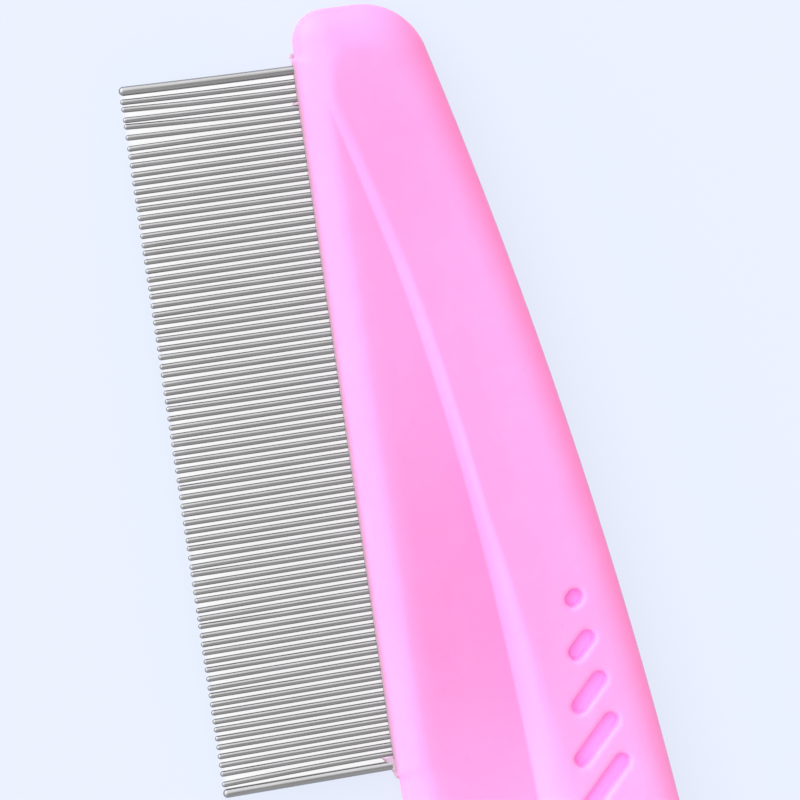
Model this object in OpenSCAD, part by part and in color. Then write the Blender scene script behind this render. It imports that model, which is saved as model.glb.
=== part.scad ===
// Flea comb: a one-piece moulded handle that grips a row of straight round steel teeth.
// The row runs along X, the teeth point to -Y, and the comb lies on its flat back at Z = 0.
// Inside the modules X is counted from the guard tooth at the head, and Y from the tooth wall.

/* [Tooth row] */
// Distance between the two guard teeth, axis to axis
row_len = 65.1; // [55:0.1:75]
// Number of fine teeth between the guard teeth
fine_teeth = 79; // [40:1:79]
// Distance from the head guard tooth to the first fine tooth, axis to axis
head_guard_gap = 1.05; // [0.8:0.05:1.3]
// Distance from the last fine tooth to the tail guard tooth, axis to axis
tail_guard_gap = 1.1; // [0.8:0.05:1.4]
// Diameter of a fine tooth
fine_d = 0.54; // [0.4:0.02:0.6]
// Diameter of a guard tooth
guard_d = 0.86; // [0.7:0.02:1]
// Free length of a tooth, from the tooth wall to its tip
tooth_len = 16.1; // [12:0.1:20]
// Length of a tooth that is buried in the handle
root_len = 8; // [6:0.5:9]

/* [Handle outline] */
// How far the head reaches past the head guard tooth
head_len = 5.2; // [4.5:0.1:8]
// Length from the tail guard tooth to the end of the handle
grip_len = 105; // [90:1:120]
// Radius of the long arc along the spine
spine_r = 500; // [400:10:700]
// Place of the highest point of the spine, from the head guard tooth
spine_top_x = 129; // [115:1:135]
// Height of the highest point of the spine above the tooth wall
spine_top_y = 29.6; // [28:0.1:31]
// Corner radius of the head, on the spine side
head_spine_r = 6.2; // [5:0.1:7]
// Corner radius of the head, on the tooth side
head_tooth_r = 3; // [2:0.1:3.5]
// Height of the grip's lower edge above the tooth wall
grip_y = 7.5; // [6:0.5:9]
// Length of the neck, where the lower edge climbs from the tooth row to the grip
neck_len = 34; // [28:1:40]
// How far the strip that carries the teeth stands out from the handle's edge
bed_step = 0.35; // [0.2:0.05:0.5]

/* [Handle thickness] */
// Thickness of the grip and of the raised face
handle_t = 7; // [6.5:0.5:9]
// Thickness at the bottom of the scoop, beside the crease
web_t = 4.4; // [4:0.1:5]
// Thickness of the rim above the teeth
rim_t = 6.2; // [5.4:0.1:6.6]
// Height of the flat wall that the teeth come out of
tooth_wall_t = 3; // [2:0.1:3.6]
// Height of the narrow flat left along the spine
spine_wall_t = 1.4; // [1:0.1:2]

/* [Slots] */
// Number of slots in each of the two groups on a face
slots_in_group = 5; // [3:1:6]
// Extra space for the thumb between the two groups
thumb_space = 10; // [6:1:16]
// Width of a slot
slot_w = 1.4; // [1:0.1:2]
// Depth of a slot
slot_depth = 1.2; // [0.3:0.1:1.4]
// Step from one slot to the next along the handle
slot_step = 3.98; // [3.6:0.02:4.2]
// Place of the first slot's spine end, from the head guard tooth
slot_first_x = 51.9; // [50:0.1:54]
// Distance of the slots' spine ends from the spine
slot_inset = 4.9; // [4.6:0.1:5.6]
// Straight length of the first slot
slot_first_len = 0.3; // [0.2:0.05:1]
// How much longer each slot is than the one before it
slot_growth = 1.4; // [1:0.05:1.5]

/* [Hang hole] */
// Diameter of the hole for hanging the comb up
hang_d = 5; // [4:0.5:6]
// Distance from the hole's centre to the end of the handle
hang_inset = 9; // [8:0.5:11]

/* [Hidden] */
teeth_per_node = 2;
tooth_nodes = ceil(fine_teeth / teeth_per_node);

// Places along and across the handle
fine_pitch = (row_len - head_guard_gap - tail_guard_gap) / (fine_teeth - 1);
head_x = -head_len;
tail_x = row_len + grip_len;
mid_z = handle_t / 2;
bed_end = 0.9;
bed_ramp = 0.4;
neck_x = row_len + bed_end + bed_ramp;
spine_cy = spine_top_y - spine_r;
origin_shift = [-(head_x + tail_x) / 2, -(spine_top_y - tooth_len) / 2, 0];

// The head's corner circle touches the end and the spine, the tail's touches the grip's edges
head_cx = head_x + head_spine_r;
head_cy = spine_cy + sqrt(pow(spine_r - head_spine_r, 2) - pow(head_cx - spine_top_x, 2));
head_touch_x = spine_top_x + (head_cx - spine_top_x) * spine_r / (spine_r - head_spine_r);
tail_a = tail_x - spine_top_x;
tail_b = grip_y - spine_cy;
tail_half = tail_b - tail_a + spine_r;
tail_r = -tail_half + sqrt(pow(tail_half, 2) - tail_a * tail_a - tail_b * tail_b + spine_r * spine_r);
tail_cx = tail_x - tail_r;
tail_cy = grip_y + tail_r;

// Edge rounding, seen from above, and the crease between the scoop and the raised face
rim_round = 1.8;
spine_round = 2.6;
end_round = 2.2;
rim_y = 2.2;
crease_r = 300;
crease_top_x = 81;
crease_top_y = 13.7;
crease_run = 1.2;
scoop_in = 9;
scoop_out_x = [row_len - 10, row_len + 25];

// The mesh of the handle's skin: sections along it, and steps across each section
cap_share = 0.997;
cap_steps = 10;
cap_turn = 90 / cap_steps;
row_steps = 24;
grip_steps = 21;
low_steps = [0, 0.12, 0.4, 0.9, rim_round];
high_steps = [spine_round, 1.5, 0.7, 0.2, 0];
section_w = 12;
crease_room = 3.6;
seat_gap = 0.01;
overrun = 1;
slot_arc_turn = 22.5;
steel = [0.72, 0.73, 0.75];
pink = [1, 0.68, 0.93];

function fine_node(n) = str("fine_teeth_", n < 10 ? "0" : "", n);
function fine_x(i) = head_guard_gap + i * fine_pitch;
function ramp(a, b, x) = min(1, max(0, (x - a) / (b - a)));
function ease(a, b, x) = (1 - cos(180 * ramp(a, b, x))) / 2;
function quarter_arc(d, r) = sqrt(1 - pow(1 - ramp(0, r, d), 2));
function circle_dy(r, dx) = sqrt(max(0, r * r - dx * dx));

// Outline: y of the edge towards the spine, and of the edge towards the teeth
function spine_y(x) = spine_cy + circle_dy(spine_r, x - spine_top_x);
function upper_y(x) =
  x < head_touch_x ? head_cy + circle_dy(head_spine_r, x - head_cx) :
  x > tail_cx ? min(spine_y(x), tail_cy + circle_dy(tail_r, x - tail_cx)) :
  spine_y(x);
function lower_y(x) =
  x < head_x + head_tooth_r ?
    bed_step + head_tooth_r - circle_dy(head_tooth_r, x - head_x - head_tooth_r) :
  x < 0 ? bed_step * ramp(-bed_end, -bed_end - bed_ramp, x) :
  x < neck_x ? bed_step * ramp(row_len + bed_end, neck_x, x) :
  x < tail_cx ? bed_step + (grip_y - bed_step) * ease(neck_x, neck_x + neck_len, x) :
  tail_cy - circle_dy(tail_r, x - tail_cx);
function crease_y(x) = crease_top_y - crease_r + circle_dy(crease_r, x - crease_top_x);

// Half thickness at a point of the face, first with its scoop and then with its rounded edges
function scoop(x, y) =
  let (into = crease_y(x) - y, across = ramp(0, crease_y(x) - rim_y, into))
  (handle_t - web_t - (rim_t - web_t) * across) / 2
    * ease(0, crease_run, into) * ease(0, scoop_in, x) * (1 - ease(scoop_out_x[0], scoop_out_x[1], x));
function round_edge(half, wall, d, r) = wall + (half - wall) * quarter_arc(d, r);
function half_t(x, y) =
  let (
    face = handle_t / 2 - scoop(x, y),
    tooth_side = round_edge(face, tooth_wall_t / 2, y - lower_y(x), rim_round),
    both_sides = round_edge(tooth_side, spine_wall_t / 2, upper_y(x) - y, spine_round)
  )
  round_edge(both_sides, spine_wall_t / 2, min(x - head_x, tail_x - x), end_round);

// Sections of the handle: their places along X, and the y values across one of them
section_xs = concat(
  [for (i = [0:cap_steps]) head_x + (head_len - bed_end - bed_ramp) * (1 - cos(cap_turn * i))],
  [for (i = [0:row_steps]) -bed_end + i * (row_len + 2 * bed_end) / row_steps],
  [for (i = [0:grip_steps]) neck_x + i * (tail_cx - neck_x) / grip_steps],
  [for (i = [1:cap_steps]) tail_cx + tail_r * cap_share * sin(cap_turn * i)]
);
function section_ys(x) =
  let (
    low = lower_y(x),
    high = upper_y(x),
    k = min(1, (high - low) / section_w),
    crease = min(high - crease_room * k, max(low + crease_room * k, crease_y(x))),
    foot = crease - crease_run * k,
    rim = low + rim_round * k,
    shoulder = high - spine_round * k
  )
  concat(
    [for (d = low_steps) low + d * k],
    [for (f = [1:4]) rim + (foot - rim) * f / 4],
    [foot + (crease - foot) / 2, crease],
    [for (f = [1:2]) crease + (shoulder - crease) * f / 3],
    [for (d = high_steps) high - d * k]
  );
function section(x) =
  let (ys = section_ys(x), n = len(ys))
  concat(
    [for (y = ys) [x, y, half_t(x, y)]],
    [for (i = [n - 1:-1:0]) [x, ys[i], -half_t(x, ys[i])]]
  );

// Solid between the first and the last section, each a ring of the same number of points
module loft(sections) {
  ring = len(sections[0]);
  last = (len(sections) - 1) * ring;
  sides = [
    for (s = [0:len(sections) - 2]) for (i = [0:ring - 1])
      let (a = s * ring + i, b = s * ring + (i + 1) % ring)
      each [[a, b, b + ring], [a, b + ring, a + ring]]
  ];
  caps = [
    for (i = [0:ring / 2 - 2])
      let (a = i, b = i + 1, c = ring - 2 - i, d = ring - 1 - i)
      each [[a, d, c], [a, c, b], [last + a, last + c, last + d], [last + a, last + b, last + c]]
  ];
  polyhedron(points = [for (s = sections) each s], faces = concat(sides, caps));
}

// Outline of a slot that starts at the origin and runs along +Y
function slot_outline(length, r) = concat(
  [for (a = [180:slot_arc_turn:360]) r * [cos(a), sin(a)]],
  [for (a = [0:slot_arc_turn:180]) [0, length] + r * [cos(a), sin(a)]]
);

// The first group's slots grow towards the thumb space and the second group's shrink, all at 45 degrees
module slots() {
  for (i = [0:2 * slots_in_group - 1]) {
    x = slot_first_x + i * slot_step + (i < slots_in_group ? 0 : thumb_space);
    length = slot_first_len + slot_growth * min(i, 2 * slots_in_group - 1 - i);
    translate([x, spine_y(x) - slot_inset, 0])
      rotate([0, 0, -135])
        linear_extrude(slot_depth + overrun)
          polygon(slot_outline(length, slot_w / 2));
  }
}

// A tooth along -Y, with its axis on the origin's height and its buried end square
module tooth(d) {
  r = d / 2;
  rotate([90, 0, 0])
    translate([0, 0, -root_len])
      rotate_extrude($fn = 32)
        polygon(concat(
          [[0, 0], [r, 0]],
          [for (a = [0:15:75]) [r * cos(a), root_len + tooth_len - r + r * sin(a)]],
          [[0, root_len + tooth_len]]
        ));
}

module tooth_seat(d) {
  rotate([90, 0, 0])
    translate([0, 0, -root_len])
      cylinder(h = root_len + overrun, d = d + 2 * seat_gap, $fn = 32);
}

module handle() {
  color(pink)
    translate(origin_shift + [0, 0, mid_z])
      difference() {
        loft([for (x = section_xs) section(x)]);
        tooth_seat(guard_d);
        translate([row_len, 0, 0]) tooth_seat(guard_d);
        for (i = [0:fine_teeth - 1]) translate([fine_x(i), 0, 0]) tooth_seat(fine_d);
        translate([0, 0, mid_z - slot_depth]) slots();
        mirror([0, 0, 1]) translate([0, 0, mid_z - slot_depth]) slots();
        translate([tail_x - hang_inset, tail_cy, -mid_z - overrun])
          cylinder(h = handle_t + 2 * overrun, d = hang_d, $fn = 64);
      }
}

module placed_tooth(x, d) {
  color(steel)
    translate(origin_shift + [x, 0, mid_z])
      tooth(d);
}

module head_guard_tooth() {
  placed_tooth(0, guard_d);
}

module tail_guard_tooth() {
  placed_tooth(row_len, guard_d);
}

// The fine teeth of one node, counted from 1 at the head
module fine_tooth_group(n) {
  first = (n - 1) * teeth_per_node;
  for (i = [first:min(first + teeth_per_node, fine_teeth) - 1]) placed_tooth(fine_x(i), fine_d);
}

handle();
head_guard_tooth();
tail_guard_tooth();
for (n = [1:tooth_nodes])
  fine_tooth_group(n);
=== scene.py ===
"""Looks of the flea comb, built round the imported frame.

The handle and the teeth stand for their CAD solids as finer meshes of the same shape. Shapes are
worked out in millimetres in comb coordinates: x along the row of teeth from the head guard tooth,
y from the tooth wall to the spine, z from the middle plane. put() turns them into the frame's metres.
"""

import math

import bpy
import numpy as np
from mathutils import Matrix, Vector, geometry, kdtree


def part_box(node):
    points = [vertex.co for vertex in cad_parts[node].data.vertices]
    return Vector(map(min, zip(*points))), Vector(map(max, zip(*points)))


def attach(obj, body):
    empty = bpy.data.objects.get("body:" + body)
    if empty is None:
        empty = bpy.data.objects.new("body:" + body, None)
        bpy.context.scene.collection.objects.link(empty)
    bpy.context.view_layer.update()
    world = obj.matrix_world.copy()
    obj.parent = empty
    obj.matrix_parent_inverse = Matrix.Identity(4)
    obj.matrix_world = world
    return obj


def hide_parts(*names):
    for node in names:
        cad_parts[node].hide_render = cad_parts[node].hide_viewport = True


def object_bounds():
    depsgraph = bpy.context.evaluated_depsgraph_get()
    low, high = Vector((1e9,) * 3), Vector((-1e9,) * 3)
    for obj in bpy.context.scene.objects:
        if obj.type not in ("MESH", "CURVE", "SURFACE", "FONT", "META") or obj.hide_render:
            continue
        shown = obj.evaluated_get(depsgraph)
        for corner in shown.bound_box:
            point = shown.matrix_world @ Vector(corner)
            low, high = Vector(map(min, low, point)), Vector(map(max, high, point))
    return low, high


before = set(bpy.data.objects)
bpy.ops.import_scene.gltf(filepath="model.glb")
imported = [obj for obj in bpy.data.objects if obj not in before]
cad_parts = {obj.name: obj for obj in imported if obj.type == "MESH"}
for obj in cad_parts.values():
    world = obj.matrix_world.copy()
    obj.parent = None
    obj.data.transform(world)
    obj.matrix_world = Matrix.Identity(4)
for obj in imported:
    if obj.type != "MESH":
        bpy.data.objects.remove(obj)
CAD_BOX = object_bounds()
MM = 0.001
RNG = np.random.default_rng(7)

# ---------------------------------------------------------------- sizes, from the frame


def box_mm(node):
    low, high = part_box(node)
    return np.array(low) / MM, np.array(high) / MM


FINE_NODES = sorted(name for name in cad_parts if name.startswith("fine_teeth_"))
HANDLE_LOW, HANDLE_HIGH = box_mm("handle")
HEAD_TOOTH_LOW, HEAD_TOOTH_HIGH = box_mm("head_guard_tooth")
TAIL_TOOTH_LOW, _ = box_mm("tail_guard_tooth")
FINE_LOW, FINE_HIGH = box_mm(FINE_NODES[-1])

GUARD_R = (HEAD_TOOTH_HIGH[0] - HEAD_TOOTH_LOW[0]) / 2
FINE_R = (FINE_HIGH[2] - FINE_LOW[2]) / 2
ORIGIN = np.array([HEAD_TOOTH_LOW[0] + GUARD_R, HANDLE_LOW[1], HEAD_TOOTH_LOW[2] + GUARD_R])
ROW_LEN = TAIL_TOOTH_LOW[0] + GUARD_R - ORIGIN[0]
TOOTH_LEN = HANDLE_LOW[1] - HEAD_TOOTH_LOW[1]
ROOT_LEN = HEAD_TOOTH_HIGH[1] - HANDLE_LOW[1]
HEAD_X = HANDLE_LOW[0] - ORIGIN[0]
TAIL_X = HANDLE_HIGH[0] - ORIGIN[0]
SPINE_TOP_Y = HANDLE_HIGH[1] - ORIGIN[1]
HALF_T = (HANDLE_HIGH[2] - HANDLE_LOW[2]) / 2


def put(points):
    """Comb coordinates in millimetres to the frame in metres."""
    return (np.asarray(points, float) + ORIGIN) * MM


# ---------------------------------------------------------------- the handle's outline

SPINE_R = 500.0
SPINE_TOP_X = 129.0
SPINE_CY = SPINE_TOP_Y - SPINE_R
HEAD_SPINE_R = 6.2
HEAD_TOOTH_R = 3.0
GRIP_Y = 7.5
BED_STEP = 0.35
BED_END = 0.9
BED_RAMP = 0.4
BED_SPREAD = 0.9
NECK_LEN = 34.0
NECK_X = ROW_LEN + BED_END + BED_RAMP

HEAD_CX = HEAD_X + HEAD_SPINE_R
HEAD_CY = SPINE_CY + math.sqrt((SPINE_R - HEAD_SPINE_R) ** 2 - (HEAD_CX - SPINE_TOP_X) ** 2)
TAIL_A = TAIL_X - SPINE_TOP_X
TAIL_B = GRIP_Y - SPINE_CY
TAIL_HALF = TAIL_B - TAIL_A + SPINE_R
TAIL_R = -TAIL_HALF + math.sqrt(TAIL_HALF ** 2 - TAIL_A ** 2 - TAIL_B ** 2 + SPINE_R ** 2)
TAIL_CX = TAIL_X - TAIL_R
TAIL_CY = GRIP_Y + TAIL_R
OUTLINE_STEP = 0.34
FINE_STEP = 0.05


def ramp(a, b, x):
    return np.clip((np.asarray(x, float) - a) / (b - a), 0, 1)


def ease(a, b, x):
    """0 before a, 1 after b, and smooth between them."""
    return (1 - np.cos(np.pi * ramp(a, b, x))) / 2


def spine_y(x):
    return SPINE_CY + np.sqrt(SPINE_R ** 2 - (np.asarray(x, float) - SPINE_TOP_X) ** 2)


def lower_y(x, spread=0.0):
    """The lower edge: the strip that carries the teeth, with its ends spread out, the neck and the grip."""
    off_bed = ease(spread - BED_END, -BED_END - BED_RAMP - spread, x)
    off_bed = off_bed + ease(ROW_LEN + BED_END - spread, NECK_X + spread, x)
    return BED_STEP * off_bed + (GRIP_Y - BED_STEP) * ease(NECK_X, NECK_X + NECK_LEN, x)


def arc(cx, cy, r, start, end, step=0.1):
    turns = np.linspace(start, end, max(8, int(abs(end - start) * r / step)))
    return np.stack([cx + r * np.cos(turns), cy + r * np.sin(turns)], 1)


def outline_path(spread=0.0):
    """The whole outline, clockwise from the tooth side of the head."""
    head_turn = math.atan2(HEAD_CY - SPINE_CY, HEAD_CX - SPINE_TOP_X)
    tail_turn = math.atan2(TAIL_CY - SPINE_CY, TAIL_CX - SPINE_TOP_X)
    corner_y = BED_STEP + HEAD_TOOTH_R
    lower_x = np.arange(TAIL_CX, HEAD_X + HEAD_TOOTH_R, -FINE_STEP)
    return np.concatenate([
        np.stack([np.full(60, HEAD_X), np.linspace(corner_y, HEAD_CY, 60)], 1),
        arc(HEAD_CX, HEAD_CY, HEAD_SPINE_R, math.pi, head_turn),
        arc(SPINE_TOP_X, SPINE_CY, SPINE_R, head_turn, tail_turn),
        arc(TAIL_CX, TAIL_CY, TAIL_R, tail_turn, -math.pi / 2),
        np.stack([lower_x, lower_y(lower_x, spread)], 1),
        arc(HEAD_X + HEAD_TOOTH_R, corner_y, HEAD_TOOTH_R, -math.pi / 2, -math.pi),
    ])


def resample(path, step):
    """Evenly spaced points round a closed path."""
    closed = np.concatenate([path, path[:1]])
    run = np.concatenate([[0], np.cumsum(np.linalg.norm(np.diff(closed, axis=0), axis=1))])
    places = np.linspace(0, run[-1], int(run[-1] / step), endpoint=False)
    return np.stack([np.interp(places, run, closed[:, k]) for k in (0, 1)], 1)


def soften(loop, reach):
    """A closed loop whose points are averaged with a bell of that many points each way."""
    if reach < 1:
        return loop
    offsets = np.arange(-reach, reach + 1)
    bell = np.exp(-2 * (offsets / reach) ** 2)
    bell /= bell.sum()
    return sum(share * np.roll(loop, k, axis=0) for k, share in zip(offsets, bell))


def inward(loop, depth):
    """The loop moved into the handle. Deep loops are softened, so that small steps don't cross."""
    soft = soften(loop, int(round(1.6 * depth / OUTLINE_STEP)))
    along = np.roll(soft, -1, axis=0) - np.roll(soft, 1, axis=0)
    along /= np.linalg.norm(along, axis=1)[:, None]
    return soft + depth * np.stack([along[:, 1], -along[:, 0]], 1)


OUTLINE = resample(outline_path(), OUTLINE_STEP)


def distance_to_segments(points, starts, ends):
    along = ends - starts
    share = np.clip(((points - starts) * along).sum(-1) / (along * along).sum(-1), 0, 1)
    return np.linalg.norm(points - starts - share[:, None] * along, axis=1)


class Edge:
    """A closed outline that tells how far points lie from it."""

    def __init__(self, path):
        self.loop = resample(path, FINE_STEP)
        self.tree = kdtree.KDTree(len(self.loop))
        for index, point in enumerate(self.loop):
            self.tree.insert((point[0], point[1], 0), index)
        self.tree.balance()

    def distance(self, points):
        nearest = np.array([self.tree.find((x, y, 0))[1] for x, y in points])
        n = len(self.loop)
        here = self.loop[nearest]
        before = distance_to_segments(points, self.loop[(nearest - 1) % n], here)
        after = distance_to_segments(points, here, self.loop[(nearest + 1) % n])
        return np.minimum(before, after)


EDGE = Edge(outline_path())
SOFT_EDGE = Edge(outline_path(BED_SPREAD))


def inset_of(points):
    """How far in each point lies. Away from the wall, the ends of the tooth strip fade out."""
    inset = EDGE.distance(points)
    return inset + (SOFT_EDGE.distance(points) - inset) * ease(0.2, 1.6, inset)


def inside_loop(loop, points):
    """Which points lie inside a closed loop."""
    ax, ay = loop[:, 0], loop[:, 1]
    bx, by = np.roll(ax, -1), np.roll(ay, -1)
    rise = np.where(by == ay, 1, by - ay)
    parts = []
    for part in np.array_split(points, 24):
        x, y = part[:, :1], part[:, 1:]
        spans = (ay > y) != (by > y)
        crossing = ax + (y - ay) * (bx - ax) / rise
        parts.append((spans & (x < crossing)).sum(1) % 2 == 1)
    return np.concatenate(parts)


# ---------------------------------------------------------------- the handle's faces

CREASE_R = 300.0
CREASE_TOP_X = 81.0
CREASE_TOP_Y = 13.7
FOOT_GAP = 1.1
CLIMB_WIDTH = 1.15
CLIMB_EXTRA = 2.4
RIM_Y = 2.3
RIM_DROP = 0.35
TAIL_DROP = 0.45
SCOOP_SLOPE = 0.07
SCOOP_SLOPE_GAIN = 0.07
SCOOP_ROUND = 0.6
DISH_DEPTH = 0.3
SWAY = 0.25
EDGE_WIDTH = 3.1
HEAD_EDGE_EXTRA = 2.1
WALL_HALF = 0.8
ROW_WALL_EXTRA = 0.15
DRAFT = 0.16
BEVEL_SHARE = 0.42
LIP_SHARE = 0.2
LIP_HEIGHT = 0.36


def crease_y(x):
    """The line where the scoop beside the teeth meets the raised face."""
    return CREASE_TOP_Y - CREASE_R + np.sqrt(CREASE_R ** 2 - (np.asarray(x, float) - CREASE_TOP_X) ** 2)


def foot_y(x):
    """The foot of the crease, where the scoop ends and the raised face begins to climb."""
    return crease_y(x) - FOOT_GAP + 0.47 * ease(5, 24, x) - 0.15 * ramp(40, 76, x)


def scoop_fall(x, y):
    """How far the scoop lies below the raised face."""
    flat = ease(58, 84, x)
    slope = (SCOOP_SLOPE + SCOOP_SLOPE_GAIN * ramp(15, 55, x)) * (1 - 0.6 * flat)
    over = y - RIM_Y
    return RIM_DROP + TAIL_DROP * flat + slope * (over + np.sqrt(over ** 2 + SCOOP_ROUND)) / 2


def face_z(x, y):
    """Height of the face over the middle plane, before its edges are rounded."""
    foot = foot_y(x)
    climb_width = CLIMB_WIDTH + CLIMB_EXTRA * ramp(42, 72, x)
    climb = np.clip((y - foot) / climb_width, 0, 1)
    scoop = scoop_fall(x, np.minimum(y, foot)) * (1 - climb) ** 2
    present = ease(-5, 10, x) * (1 - ease(62, 100, x))
    across = np.clip((y - foot) / (spine_y(x) - foot), 0, 1)
    dish = DISH_DEPTH * np.sin(np.pi * across) * (1 - 0.5 * across) * (1 - ease(50, 95, x))
    sway = SWAY * (ease(-2, 20, x) - ease(55, 88, x))
    return HALF_T - scoop * present - dish - sway


def edge_width(x):
    """How far in from the outline the rounded edge reaches."""
    return EDGE_WIDTH + HEAD_EDGE_EXTRA * (1 - ease(-5, 5, x))


def edge_wall(x, y):
    """Half the height of the upright wall that the rounded edge ends in."""
    on_row = ease(-3, -0.5, x) * (1 - ease(ROW_LEN + 1, ROW_LEN + 25, x))
    return WALL_HALF + ROW_WALL_EXTRA * on_row * (1 - ease(1, 5, y))


def rounded_z(x, y, inset):
    """Height of the skin at a distance from the outline: a bevel by the teeth, a curve elsewhere."""
    wall = edge_wall(x, y)
    reach = np.clip((inset - DRAFT) / edge_width(x), 0, 1)
    curve = np.sqrt(1 - (1 - reach) ** 2)
    bent = np.clip((reach - BEVEL_SHARE) / (1 - BEVEL_SHARE), 0, 1)
    levelling = bent / 2 + np.sin(np.pi * bent) / (2 * np.pi)
    bevel = np.minimum(reach, BEVEL_SHARE) + (1 - BEVEL_SHARE) * levelling
    bevel /= (1 + BEVEL_SHARE) / 2
    lip = np.sqrt(1 - (1 - ramp(0, LIP_SHARE, reach)) ** 2)
    bevelled = LIP_HEIGHT * lip + (1 - LIP_HEIGHT) * bevel
    by_teeth = (1 - ease(5, 9, y - lower_y(x))) * ease(-4, 3, x)
    share = curve + (bevelled - curve) * by_teeth
    return wall + (face_z(x, y) - wall) * share


# ---------------------------------------------------------------- slots and hang hole

SLOTS_IN_GROUP = 5
THUMB_SPACE = 10.0
SLOT_R = 0.7
SLOT_DEPTH = 1.2
SLOT_STEP = 3.98
SLOT_FIRST_X = 51.9
SLOT_INSET = 4.9
SLOT_SHORTEST = 0.3
SLOT_GROWTH = 1.4
SLOT_LIP_DROP = 0.12
SLOT_LIP = 0.5
SLOT_WALL_TOP = 0.16
SLOT_WALL_FOOT = -0.2
SLOT_RINGS = (
    0.6, 0.45, 0.32, 0.23, 0.16, 0.1, 0.05, 0.01,
    -0.03, -0.07, -0.11, -0.15, -0.19, -0.24, -0.33, -0.45,
)
SLOT_MESH_STEP = 0.35
SLOT_GAP = 0.2
HANG_R = 2.5
HANG_LIP = 0.6
HANG_INSET = 9.0
HANG_RINGS = (1.3, 0.9, 0.6, 0.45, 0.31, 0.19, 0.1, 0.03, 0.0)
HANG_CENTRE = np.array([TAIL_X - HANG_INSET, TAIL_CY])
HANG_SIDES = 72


def slot_lines():
    """Each slot's centre line, from its end near the spine to its lower end."""
    lines = []
    last = 2 * SLOTS_IN_GROUP - 1
    for i in range(last + 1):
        length = SLOT_SHORTEST + SLOT_GROWTH * min(i, last - i)
        x = SLOT_FIRST_X + i * SLOT_STEP + (THUMB_SPACE if i >= SLOTS_IN_GROUP else 0)
        start = np.array([x, float(spine_y(x)) - SLOT_INSET])
        lines.append((start, start + length * np.array([1, -1]) / math.sqrt(2)))
    return lines


SLOTS = slot_lines()


def slot_loop(start, end, r):
    """The round-ended outline of a slot at radius r round its centre line, anticlockwise."""
    along = end - start
    turn = math.atan2(along[1], along[0])
    half = np.linspace(math.pi / 2, 3 * math.pi / 2, 19) + turn
    round_end = r * np.stack([np.cos(half), np.sin(half)], 1)
    back, front = start + round_end, end - round_end
    steps = np.linspace(0, 1, max(2, int(np.linalg.norm(along) / SLOT_MESH_STEP)))[1:-1, None]
    return np.concatenate([
        back, back[-1] + (front[0] - back[-1]) * steps,
        front, front[-1] + (back[0] - front[-1]) * steps,
    ])


def slot_drop(points):
    """How far the slots sink the face at each point."""
    drop = np.zeros(len(points))
    for start, end in SLOTS:
        outside = distance_to_segments(points, start[None], end[None]) - SLOT_R
        lip = SLOT_LIP_DROP * ease(SLOT_LIP, 0, outside)
        pit = (SLOT_DEPTH - SLOT_LIP_DROP) * ease(SLOT_WALL_TOP, SLOT_WALL_FOOT, outside)
        drop = np.maximum(drop, lip + pit)
    return drop


def hang_loop(outside):
    turns = np.linspace(0, 2 * math.pi, HANG_SIDES, endpoint=False)
    return HANG_CENTRE + (HANG_R + outside) * np.stack([np.cos(turns), np.sin(turns)], 1)


def hang_drop(points):
    """How far the rounded lip of the hang hole lowers the face."""
    outside = np.linalg.norm(points - HANG_CENTRE, axis=1) - HANG_R
    turn = 1 - ramp(0, HANG_LIP, outside)
    return HANG_LIP * (1 - np.sqrt(1 - turn ** 2))


def skin_z(points):
    x, y = points[:, 0], points[:, 1]
    return rounded_z(x, y, inset_of(points)) - slot_drop(points) - hang_drop(points)


# ---------------------------------------------------------------- the handle's mesh

BAND_STEPS = (0, 0.012, 0.05, 0.11, 0.19, 0.29, 0.42, 0.6, 0.85, 1.15, 1.5, 1.9)
BAND_DEPTHS = tuple(DRAFT + depth for depth in BAND_STEPS)
GRID_STEP = 0.62
GRID_GAP = 0.25
CREASE_ROWS = np.arange(-0.9, 2.0, 0.14)
CREASE_STEP = 0.45
CREASE_GAP = 0.3
CREASE_END_X = 97.0
PARTING_RIDGE = 0.04
WALL_ROWS = (0.7, 0.4, 0.12, 0.05, 0, -0.05, -0.12, -0.4, -0.7)
HANG_WALL_ROWS = (0.5, 0, -0.5)
BED_TOP = 0.3
BED_REACH = 2


def strip(a, b):
    """Quads between two closed loops of the same number of vertices."""
    n = len(a)
    return [(a[i], a[(i + 1) % n], b[(i + 1) % n], b[i]) for i in range(n)]


def inner_points(boundary):
    """Points of the face inside its rounded band: rows along the crease, a staggered grid elsewhere."""
    columns = np.arange(HEAD_X, TAIL_X, GRID_STEP * math.sqrt(3) / 2)
    ys = np.arange(0, SPINE_TOP_Y, GRID_STEP)
    grid = np.concatenate([
        np.stack([np.full(len(ys), x), ys + (k % 2) * GRID_STEP / 2], 1)
        for k, x in enumerate(columns)
    ])
    from_crease = grid[:, 1] - foot_y(grid[:, 0])
    on_crease = from_crease > CREASE_ROWS[0] - CREASE_GAP
    on_crease &= from_crease < CREASE_ROWS[-1] + CREASE_GAP
    on_crease &= grid[:, 0] < CREASE_END_X
    xs = np.arange(HEAD_X, CREASE_END_X, CREASE_STEP)
    rows = [np.stack([xs, foot_y(xs) + offset], 1) for offset in CREASE_ROWS]
    points = np.concatenate([grid[~on_crease], *rows])
    points = points[inside_loop(boundary, points)]
    keep = EDGE.distance(points) > BAND_DEPTHS[-1] + GRID_GAP
    for start, end in SLOTS:
        from_slot = distance_to_segments(points, start[None], end[None])
        keep &= from_slot > SLOT_R + SLOT_RINGS[0] + SLOT_GAP
    keep &= np.linalg.norm(points - HANG_CENTRE, axis=1) > HANG_R + HANG_RINGS[0] + GRID_GAP
    return points[keep]


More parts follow.
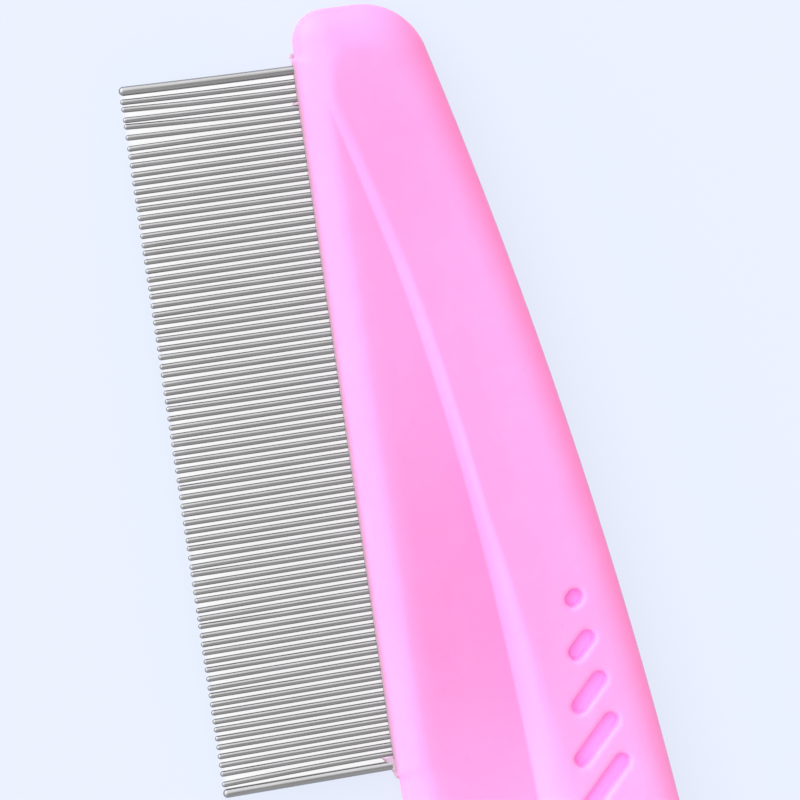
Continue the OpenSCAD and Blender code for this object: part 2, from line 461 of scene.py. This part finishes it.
class Skin:
    """The points and faces of the handle's upper face."""

    def __init__(self):
        self.loops = []
        self.count = 0
        self.faces = []

    def add(self, points):
        self.loops.append(points)
        ids = np.arange(self.count, self.count + len(points))
        self.count += len(points)
        return ids

    def nest(self, loops, clockwise):
        """Adds loops from the outermost in, with quads between them, and returns their vertex ids."""
        ids = [self.add(loop) for loop in loops]
        for outer, inner in zip(ids, ids[1:]):
            self.faces += strip(inner, outer) if clockwise else strip(outer, inner)
        return ids

    def points(self):
        return np.concatenate(self.loops)

    def fill(self, border, holes, loose):
        """Triangles between the border loop and the hole loops, through the loose points."""
        ids = np.concatenate([border, *holes, loose])
        local = {vertex: k for k, vertex in enumerate(ids)}
        edges = [
            (local[a], local[b])
            for loop in (border, *holes)
            for a, b in zip(loop, np.roll(loop, -1))
        ]
        points = self.points()[ids]
        made = geometry.delaunay_2d_cdt([Vector(p) for p in points], edges, [], 1, 1e-7)
        origin = [group[0] for group in made[3]]
        hole_of = {local[vertex]: k for k, hole in enumerate(holes) for vertex in hole}
        for face in made[2]:
            corners = [origin[k] for k in face]
            rings = {hole_of.get(corner) for corner in corners}
            if len(rings) > 1 or rings == {None}:
                self.faces.append(tuple(int(ids[corner]) for corner in corners))


def upper_skin():
    """The upper face's points and faces, and the ids of its edge loop and of the hang hole's edge."""
    skin = Skin()
    band = skin.nest([inward(OUTLINE, depth) for depth in BAND_DEPTHS], clockwise=True)
    holes = []
    for start, end in SLOTS:
        loops = [slot_loop(start, end, SLOT_R + outside) for outside in SLOT_RINGS]
        rings = skin.nest(loops, clockwise=False)
        skin.faces.append(tuple(int(k) for k in rings[-1]))
        holes.append(rings[0])
    hang = skin.nest([hang_loop(outside) for outside in HANG_RINGS], clockwise=False)
    holes.append(hang[0])
    loose = skin.add(inner_points(skin.points()[band[-1]]))
    skin.fill(band[-1], holes, loose)
    return skin, band[0], hang[-1]


def handle_mesh():
    """Vertices and faces of the whole handle: two mirrored faces, the wall round them, the hole's wall."""
    skin, edge, hang = upper_skin()
    flat = skin.points()
    z = skin_z(flat)
    z[edge] = edge_wall(flat[edge, 0], flat[edge, 1])
    verts = [np.column_stack([flat, z]), np.column_stack([flat, -z])]
    n = len(flat)
    faces = [tuple(int(k) for k in face) for face in skin.faces]
    faces += [tuple(k + n for k in reversed(face)) for face in faces]
    count = 2 * n

    on_bed = OUTLINE[:, 1] < BED_TOP
    on_bed &= (OUTLINE[:, 0] > -BED_REACH) & (OUTLINE[:, 0] < ROW_LEN + BED_REACH)
    ridge = np.where(on_bed, 0, PARTING_RIDGE)[:, None]
    lean = flat[edge] - OUTLINE
    rows = [edge]
    for share in WALL_ROWS:
        proud = ridge if share == 0 else 0
        flank = OUTLINE + lean * abs(share) - lean / DRAFT * proud
        verts.append(np.column_stack([flank, z[edge] * share]))
        rows.append(np.arange(count, count + len(edge)))
        count += len(edge)
    rows.append(edge + n)
    hang_rows = [hang]
    for share in HANG_WALL_ROWS:
        verts.append(np.column_stack([flat[hang], z[hang] * share]))
        hang_rows.append(np.arange(count, count + len(hang)))
        count += len(hang)
    hang_rows.append(hang + n)
    for upper, lower in zip(rows, rows[1:]):
        faces += [tuple(int(k) for k in face) for face in strip(upper, lower)]
    for upper, lower in zip(hang_rows, hang_rows[1:]):
        faces += [tuple(int(k) for k in face) for face in strip(upper, lower)]
    return np.concatenate(verts), faces


def new_piece(name, verts, faces, material, replaced=()):
    """A smooth-shaded mesh object that rides on the comb's only body."""
    mesh = bpy.data.meshes.new(name)
    mesh.from_pydata(put(verts).tolist(), [], faces)
    mesh.polygons.foreach_set("use_smooth", [True] * len(mesh.polygons))
    mesh.materials.append(material)
    mesh.update()
    piece = bpy.data.objects.new(name, mesh)
    bpy.context.scene.collection.objects.link(piece)
    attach(piece, "root")
    if replaced:
        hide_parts(*replaced)
    return piece


def thickness_and_shade_tone(verts):
    """How pale the plastic is painted. Thick parts scatter more light than thin ones, and painted shade
    darkens the scoop, the spine's rounded edge and a patch of the face by the head; the grip and tail are
    painted paler.
    """
    x, y = verts[:, 0], verts[:, 1]
    in_scoop = ease(0.6, -0.4, y - foot_y(x)) * ease(2.5, 5, y - lower_y(x))
    # Darker in the scoop: partly for its thinner plastic, partly as painted shade.
    thin = in_scoop * (0.1 + 0.35 * ease(22, 48, x)) * (1 - ease(52, 70, x))
    grip = 0.4 * ease(52, 80, x) * (1 - in_scoop)
    tail = 0.35 * ease(64, 84, x)
    # Painted shade along the spine's rounded edge, which turns away from the light.
    spine = 0.4 * ease(2.4, 0, spine_y(x) - y)
    # Painted shade on the raised face by the head.
    head = 0.25 * np.exp(-((x - 8) / 9) ** 2 - ((y - 9) / 5) ** 2)
    return np.clip(0.5 + grip + tail - thin - spine - head, 0, 1)


def slot_painted_tone(verts):
    """One on a slot's floor and zero outside the slots: where the slots are painted their own bluer pink,
    which stands in for the tone of the shade inside them.
    """
    return slot_drop(verts[:, :2]) / SLOT_DEPTH


def painted_wall_shade(verts):
    """Painted shade: how far the plastic is turned grey mauve along the wall that the teeth come out of,
    where the wires shade it.
    """
    x, y = verts[:, 0], verts[:, 1]
    return ease(0.38, 0.02, y) * ease(-1.2, -0.4, x) * ease(ROW_LEN + 1.2, ROW_LEN + 0.4, x)


def make_handle(material):
    verts, faces = handle_mesh()
    piece = new_piece("moulded_handle", verts, faces, material, ["handle"])
    # These attributes carry painted shade: in the plastic's tone, in the slots and on the tooth wall.
    for name, shade in (("tone_and_shade", thickness_and_shade_tone), ("slot", slot_painted_tone), ("wall_shade", painted_wall_shade)):
        attribute = piece.data.attributes.new(name, "FLOAT", "POINT")
        attribute.data.foreach_set("value", shade(verts))


# ---------------------------------------------------------------- the teeth

SHAFT_RINGS = 22
TIP_RINGS = 8
TIP_SPREAD = 0.05
GUARD_SIDES = 36
FINE_SIDES = 22
FINE_TEETH = 79
HEAD_GUARD_TIP = -0.15
FIRST_TIPS = (-0.22, -0.35, -0.17, -0.39, -0.18, 0.03, -0.02, -0.03, 0.02)
LAST_TIPS = (0.08, 0.24)


def tooth_mesh(x, r, tip_dx, tip_dz, sides):
    """A straight round wire with a rounded tip that is bent aside by a hair."""
    shaft = -np.linspace(-ROOT_LEN, TOOTH_LEN - r, SHAFT_RINGS)
    turn = np.linspace(0, math.pi / 2, TIP_RINGS + 1)[1:-1]
    ys = np.concatenate([shaft, -(TOOTH_LEN - r) - r * np.sin(turn)])
    radii = np.concatenate([np.full(len(shaft), r), r * np.cos(turn)])
    bend = np.clip(-ys / TOOTH_LEN, 0, None) ** 2
    round_turn = np.linspace(0, 2 * math.pi, sides, endpoint=False)
    rings = [
        np.column_stack([
            x + tip_dx * b + radius * np.cos(round_turn),
            np.full(sides, y),
            tip_dz * b + radius * np.sin(round_turn),
        ])
        for y, radius, b in zip(ys, radii, bend)
    ]
    verts = np.concatenate([*rings, [[x, ROOT_LEN, 0]], [[x + tip_dx, -TOOTH_LEN, tip_dz]]])
    ids = [np.arange(k * sides, (k + 1) * sides) for k in range(len(rings))]
    faces = [face for a, b in zip(ids, ids[1:]) for face in strip(b, a)]
    root, tip = len(verts) - 2, len(verts) - 1
    faces += [(int(ids[0][(i + 1) % sides]), int(ids[0][i]), root) for i in range(sides)]
    faces += [(int(ids[-1][i]), int(ids[-1][(i + 1) % sides]), tip) for i in range(sides)]
    return verts, [tuple(int(k) for k in face) for face in faces]


def make_guard_tooth(node, x, tip_dx, material):
    verts, faces = tooth_mesh(x, GUARD_R, tip_dx, 0, GUARD_SIDES)
    new_piece(node + "_wire", verts, faces, material, [node])


def make_fine_teeth(material):
    """One piece for each CAD node, with one or two fine teeth."""
    number = 0
    random_count = FINE_TEETH - len(FIRST_TIPS) - len(LAST_TIPS)
    tips = (*FIRST_TIPS, *RNG.normal(0, TIP_SPREAD, random_count), *LAST_TIPS)
    for node in FINE_NODES:
        low, high = box_mm(node)
        axes = sorted({round(low[0] + FINE_R, 2), round(high[0] - FINE_R, 2)})
        verts, faces, count = [], [], 0
        for axis in axes:
            tip_dz = RNG.normal(0, TIP_SPREAD)
            part_verts, part_faces = tooth_mesh(axis - ORIGIN[0], FINE_R, tips[number], tip_dz, FINE_SIDES)
            verts.append(part_verts)
            faces += [tuple(k + count for k in face) for face in part_faces]
            count += len(part_verts)
            number += 1
        new_piece(node + "_wires", np.concatenate(verts), faces, material, [node])


# ---------------------------------------------------------------- moulding flash

FLASH_SEAT = 0.25
FLASH_LEAST = 0.02
FLASH_COLUMNS = 14
FLASH_ROWS = 13

# Each entry: first x, last x, reach at each of those ends, sag between them, half the thickness.
FLASHES = {
    "tail_film": (ROW_LEN - 0.9, ROW_LEN + 0.45, 1.15, 0.3, 0.1, 0.5),
    "tail_sliver": (ROW_LEN + 0.43, ROW_LEN + 1.25, 0.3, 0.02, 0.06, 0.3),
    "head_sliver": (-1.5, -1.1, 0.02, 0.28, 0.0, 0.1),
    "head_gap_lump": (2.93, 3.2, 0.3, 0.5, -0.06, 0.3),
}


def flash_mesh(x0, x1, reach0, reach1, sag, half_thick):
    """A tongue that stands out from the tooth wall, with a rounded free edge."""
    turns = np.linspace(0, math.pi, FLASH_ROWS)
    rings = []
    for share in np.linspace(0, 1, FLASH_COLUMNS):
        reach = reach0 + (reach1 - reach0) * share - sag * math.sin(math.pi * share)
        reach = max(reach, FLASH_LEAST)
        y = FLASH_SEAT - (FLASH_SEAT + reach) * np.sin(turns)
        z = half_thick * np.cos(turns)
        rings.append(np.column_stack([np.full(len(turns), x0 + (x1 - x0) * share), y, z]))
    n = len(turns)
    ids = [np.arange(k * n, (k + 1) * n) for k in range(len(rings))]
    faces = [tuple(int(k) for k in face) for a, b in zip(ids, ids[1:]) for face in strip(a, b)]
    faces += [tuple(int(k) for k in reversed(ids[0])), tuple(int(k) for k in ids[-1])]
    return np.concatenate(rings), faces


def make_flash(material):
    """The bits of plastic that squeezed out beside the teeth when the handle was moulded."""
    for name, sizes in FLASHES.items():
        verts, faces = flash_mesh(*sizes)
        new_piece("flash_" + name, verts, faces, material)


# ---------------------------------------------------------------- materials

def new_material(name):
    material = bpy.data.materials.new(name)
    material.use_nodes = True
    tree = material.node_tree
    return material, tree, tree.nodes["Principled BSDF"]


class Nodes:
    """Short forms for the nodes that the materials share."""

    def __init__(self, tree):
        self.tree = tree

    def new(self, kind, **settings):
        node = self.tree.nodes.new("ShaderNode" + kind)
        for name, value in settings.items():
            setattr(node, name, value)
        return node

    def link(self, start, end):
        self.tree.links.new(start, end)

    def place(self, stretch=(1, 1, 1), turn=0):
        """Object coordinates in millimetres, turned about Z and then stretched."""
        mapping = self.new("Mapping")
        mapping.inputs["Scale"].default_value = [1 / (MM * s) for s in stretch]
        mapping.inputs["Rotation"].default_value[2] = turn
        self.link(self.new("TexCoord").outputs["Object"], mapping.inputs["Vector"])
        return mapping.outputs["Vector"]

    def noise(self, size, detail=3, stretch=(1, 1, 1), turn=0):
        """Noise whose features are about size millimetres across, times the stretch."""
        node = self.new("TexNoise")
        node.inputs["Scale"].default_value = 1 / size
        node.inputs["Detail"].default_value = detail
        self.link(self.place(stretch, turn), node.inputs["Vector"])
        return node.outputs["Fac"]

    def span(self, value, low, high, to_low, to_high):
        """Turns the range low to high into to_low to to_high, levelling off at both ends."""
        node = self.new("MapRange", interpolation_type="SMOOTHSTEP")
        self.link(value, node.inputs["Value"])
        settings = (("From Min", low), ("From Max", high), ("To Min", to_low), ("To Max", to_high))
        for name, number in settings:
            node.inputs[name].default_value = number
        return node.outputs["Result"]

    def math(self, operation, a, b):
        node = self.new("Math", operation=operation)
        for socket, value in zip(node.inputs, (a, b)):
            if isinstance(value, (int, float)):
                socket.default_value = value
            else:
                self.link(value, socket)
        return node.outputs["Value"]

    def mix(self, share, a, b):
        """Colour a where share is 0 and colour b where it is 1."""
        node = self.new("Mix", data_type="RGBA")
        colour_a, colour_b = node.inputs[6], node.inputs[7]
        for socket, value in ((node.inputs[0], share), (colour_a, a), (colour_b, b)):
            if isinstance(value, tuple):
                socket.default_value = (*value, 1)
            elif isinstance(value, (int, float)):
                socket.default_value = value
            else:
                self.link(value, socket)
        return node.outputs[2]

    def bump(self, height, distance_mm, strength=1.0, normal=None):
        node = self.new("Bump")
        node.inputs["Strength"].default_value = strength
        node.inputs["Distance"].default_value = distance_mm * MM
        self.link(height, node.inputs["Height"])
        if normal is not None:
            self.link(normal, node.inputs["Normal"])
        return node.outputs["Normal"]


# The thin pink doubles as the colour of painted shade.
PINK_THIN_AND_SHADED = (0.95, 0.225, 0.52)
PINK_THICK = (0.97, 0.32, 0.645)
PINK_FLOW = (0.95, 0.257, 0.55)
SPECK = (0.62, 0.12, 0.33)
PINK_SLOT_PAINTED = (0.93, 0.355, 0.82)
WALL_SHADE_GREY = (0.27, 0.24, 0.30)
FILM_DARK = (0.48, 0.34, 0.46)
FILM_PALE = (0.58, 0.43, 0.56)
STEEL_DARK = (0.24, 0.243, 0.25)
STEEL_PALE = (0.30, 0.303, 0.31)
STEEL_DULL = (0.255, 0.247, 0.25)
FLOOR_GLOW = (0.80, 0.86, 1.0)
FLOOR_PAINTED_LIGHT = (1.0, 1.0, 1.0)
FLOOR_BASE = (0.09, 0.095, 0.1, 1)
PLASTIC_IOR = 1.49


def plastic_material():
    """Satin, slightly translucent plastic: flow marks, scuffs and specks, with painted shade in its tone,
    in the slots and on the tooth wall.
    """
    material, tree, shader = new_material("handle_plastic")
    nodes = Nodes(tree)
    mottle = nodes.span(nodes.noise(3.5, 4), 0.3, 0.7, 0, 1)
    flow = nodes.span(nodes.noise(1.6, 3, stretch=(9, 1, 3)), 0.35, 0.7, 0, 1)
    # Painted shade: this attribute darkens the scoop, the spine's edge and the face by the head towards the
    # thin pink.
    tone_and_shade = nodes.new("Attribute", attribute_name="tone_and_shade").outputs["Fac"]
    shaded_mottle = nodes.math("ADD", tone_and_shade, nodes.math("MULTIPLY", mottle, 0.08))
    colour = nodes.mix(shaded_mottle, PINK_THIN_AND_SHADED, PINK_THICK)
    colour = nodes.mix(nodes.math("MULTIPLY", flow, 0.2), colour, PINK_FLOW)
    specks = nodes.span(nodes.noise(0.25, 1), 0.76, 0.82, 0, 0.5)
    colour = nodes.mix(specks, colour, SPECK)
    # Painted shade: inside the slots the pink is swapped for a bluer one that stands in for the tone of
    # their shade.
    slot = nodes.new("Attribute", attribute_name="slot").outputs["Fac"]
    colour = nodes.mix(slot, colour, PINK_SLOT_PAINTED)
    wall_shade = nodes.new("Attribute", attribute_name="wall_shade").outputs["Fac"]
    # Painted shade on the tooth wall between the wires.
    colour = nodes.mix(nodes.math("MULTIPLY", wall_shade, 0.8), colour, WALL_SHADE_GREY)
    nodes.link(colour, shader.inputs["Base Color"])

    scratch_a = nodes.span(nodes.noise(0.07, 2, stretch=(40, 1, 1), turn=0.35), 0.66, 0.74, 0, 1)
    scratch_b = nodes.span(nodes.noise(0.07, 2, stretch=(1, 34, 1), turn=-0.5), 0.67, 0.75, 0, 1)
    scratches = nodes.math("MAXIMUM", scratch_a, scratch_b)
    satin = nodes.span(nodes.noise(1.1, 5), 0.3, 0.7, 0.40, 0.50)
    rough = nodes.math("ADD", satin, nodes.math("MULTIPLY", scratches, 0.1))
    nodes.link(rough, shader.inputs["Roughness"])
    grain = nodes.bump(nodes.noise(0.16, 3), 0.006)
    waves = nodes.bump(nodes.noise(6, 1), 0.02, normal=grain)
    nodes.link(nodes.bump(scratches, 0.004, 0.6, normal=waves), shader.inputs["Normal"])

    shader.inputs["IOR"].default_value = PLASTIC_IOR
    shader.inputs["Specular IOR Level"].default_value = 0.36
    shader.inputs["Subsurface Weight"].default_value = 0.35
    shader.inputs["Subsurface Radius"].default_value = (1.0, 0.35, 0.7)
    shader.inputs["Subsurface Scale"].default_value = 1.4 * MM
    return material


def film_material():
    """The handle's plastic where it is thin enough to see through."""
    material, tree, shader = new_material("plastic_film")
    nodes = Nodes(tree)
    cloud = nodes.span(nodes.noise(0.4, 3), 0.3, 0.7, 0, 1)
    nodes.link(nodes.mix(cloud, FILM_DARK, FILM_PALE), shader.inputs["Base Color"])
    nodes.link(nodes.span(nodes.noise(0.2, 4), 0.3, 0.7, 0.25, 0.4), shader.inputs["Roughness"])
    nodes.link(nodes.bump(nodes.noise(0.25, 2), 0.03), shader.inputs["Normal"])
    shader.inputs["IOR"].default_value = PLASTIC_IOR
    shader.inputs["Transmission Weight"].default_value = 0.25
    return material


def wire_material():
    """Drawn stainless wire: fine streaks along its length, and a few dull patches."""
    material, tree, shader = new_material("tooth_wire")
    nodes = Nodes(tree)
    streaks = nodes.span(nodes.noise(0.09, 3, stretch=(1, 60, 1)), 0.3, 0.7, 0, 1)
    patches = nodes.span(nodes.noise(1.2, 3, stretch=(1, 3, 1)), 0.35, 0.7, 0, 1)
    colour = nodes.mix(streaks, STEEL_DARK, STEEL_PALE)
    colour = nodes.mix(nodes.math("MULTIPLY", patches, 0.5), colour, STEEL_DULL)
    nodes.link(colour, shader.inputs["Base Color"])
    drawn = nodes.span(streaks, 0, 1, 0.10, 0.17)
    rough = nodes.math("ADD", drawn, nodes.math("MULTIPLY", patches, 0.05))
    nodes.link(rough, shader.inputs["Roughness"])
    nodes.link(nodes.bump(streaks, 0.004, 0.5), shader.inputs["Normal"])
    shader.inputs["Metallic"].default_value = 0.85
    return material


def floor_material():
    """A softly lit pale sheet that glows evenly, and glows whiter under the teeth: painted light that
    brightens the gaps between them.
    """
    material, tree, shader = new_material("pale_floor")
    nodes = Nodes(tree)
    split = nodes.new("SeparateXYZ")
    nodes.link(nodes.new("TexCoord").outputs["Object"], split.inputs["Vector"])
    head, tip, _ = put((-0.5, -TOOTH_LEN, 0))
    tail, wall, _ = put((ROW_LEN + 0.9, 0, 0))
    along, across = split.outputs["X"], split.outputs["Y"]
    # Painted light: the share is one in a patch under the teeth, where the floor glows whiter.
    share = nodes.span(along, head, head + MM / 2, 0, 1)
    for edge in (
        nodes.span(along, tail - MM / 2, tail, 1, 0),
        nodes.span(across, tip, tip + MM, 0, 1),
        nodes.span(across, wall + MM, wall + 2 * MM, 1, 0),
    ):
        share = nodes.math("MULTIPLY", share, edge)
    nodes.link(nodes.mix(share, FLOOR_GLOW, FLOOR_PAINTED_LIGHT), shader.inputs["Emission Color"])
    shader.inputs["Base Color"].default_value = FLOOR_BASE
    shader.inputs["Roughness"].default_value = 0.9
    shader.inputs["Specular IOR Level"].default_value = 0.1
    shader.inputs["Emission Strength"].default_value = 0.86
    return material


# ---------------------------------------------------------------- stage

FLOOR_HALF = 2.0
CAMERA_AT = (19.126, -29.502, 248.061)
CAMERA_TURN = (-1.646, -8.352, 81.694)
CAMERA_LENS = 121.5
LIGHT_FROM = Vector((-0.68, -0.68, 0.28)).normalized()
GLIMMER_FROM = Vector((0.9, -0.25, 0.35)).normalized()
DOME_COLOUR = (1, 0.99, 0.985, 1)
SOFTBOX_SIZE = 1.0
SOFTBOX_AWAY = 1.0
SOFTBOX_WATTS = 4


def make_floor():
    low, _ = CAD_BOX
    corners = [(x, y, low[2]) for x, y in ((-1, -1), (1, -1), (1, 1), (-1, 1))]
    mesh = bpy.data.meshes.new("floor")
    verts = [(x * FLOOR_HALF, y * FLOOR_HALF, z) for x, y, z in corners]
    mesh.from_pydata(verts, [], [(0, 1, 2, 3)])
    mesh.materials.append(floor_material())
    floor = bpy.data.objects.new("floor", mesh)
    bpy.context.scene.collection.objects.link(floor)


def make_camera():
    camera = bpy.data.cameras.new("camera")
    camera.sensor_width = 36
    camera.lens = CAMERA_LENS
    camera.clip_start = 0.01
    holder = bpy.data.objects.new("camera", camera)
    holder.location = put(CAMERA_AT)
    holder.rotation_euler = [math.radians(turn) for turn in CAMERA_TURN]
    bpy.context.scene.collection.objects.link(holder)
    bpy.context.scene.camera = holder


def make_world():
    """A soft dome of light, brightest where the softbox stands, with a faint glimmer past the tail."""
    world = bpy.data.worlds.new("dome")
    world.use_nodes = True
    bpy.context.scene.world = world
    nodes = Nodes(world.node_tree)

    def towards(direction):
        dot = nodes.new("VectorMath", operation="DOT_PRODUCT")
        nodes.link(nodes.new("TexCoord").outputs["Generated"], dot.inputs[0])
        dot.inputs[1].default_value = direction
        return dot.outputs["Value"]

    glow = nodes.span(towards(LIGHT_FROM), 0.1, 0.72, 0.6, 2.74)
    glimmer = nodes.span(towards(GLIMMER_FROM), 0.2, 1.0, 0, 0.41)
    background = world.node_tree.nodes["Background"]
    background.inputs["Color"].default_value = DOME_COLOUR
    nodes.link(nodes.math("ADD", glow, glimmer), background.inputs["Strength"])


def make_softbox():
    light = bpy.data.lights.new("softbox", "AREA")
    light.shape = "DISK"
    light.size = SOFTBOX_SIZE
    light.energy = SOFTBOX_WATTS
    holder = bpy.data.objects.new("softbox", light)
    centre = Vector(put((ROW_LEN / 2, 5, 0)))
    holder.location = centre + LIGHT_FROM * SOFTBOX_AWAY
    holder.rotation_euler = LIGHT_FROM.to_track_quat("Z", "Y").to_euler()
    bpy.context.scene.collection.objects.link(holder)


make_camera()
make_world()
make_softbox()
make_floor()

plastic = plastic_material()
steel = wire_material()
make_handle(plastic)
make_guard_tooth("head_guard_tooth", 0, HEAD_GUARD_TIP, steel)
make_guard_tooth("tail_guard_tooth", ROW_LEN, 0, steel)
make_fine_teeth(steel)
make_flash(film_material())

bpy.context.scene.view_settings.view_transform = "Standard"
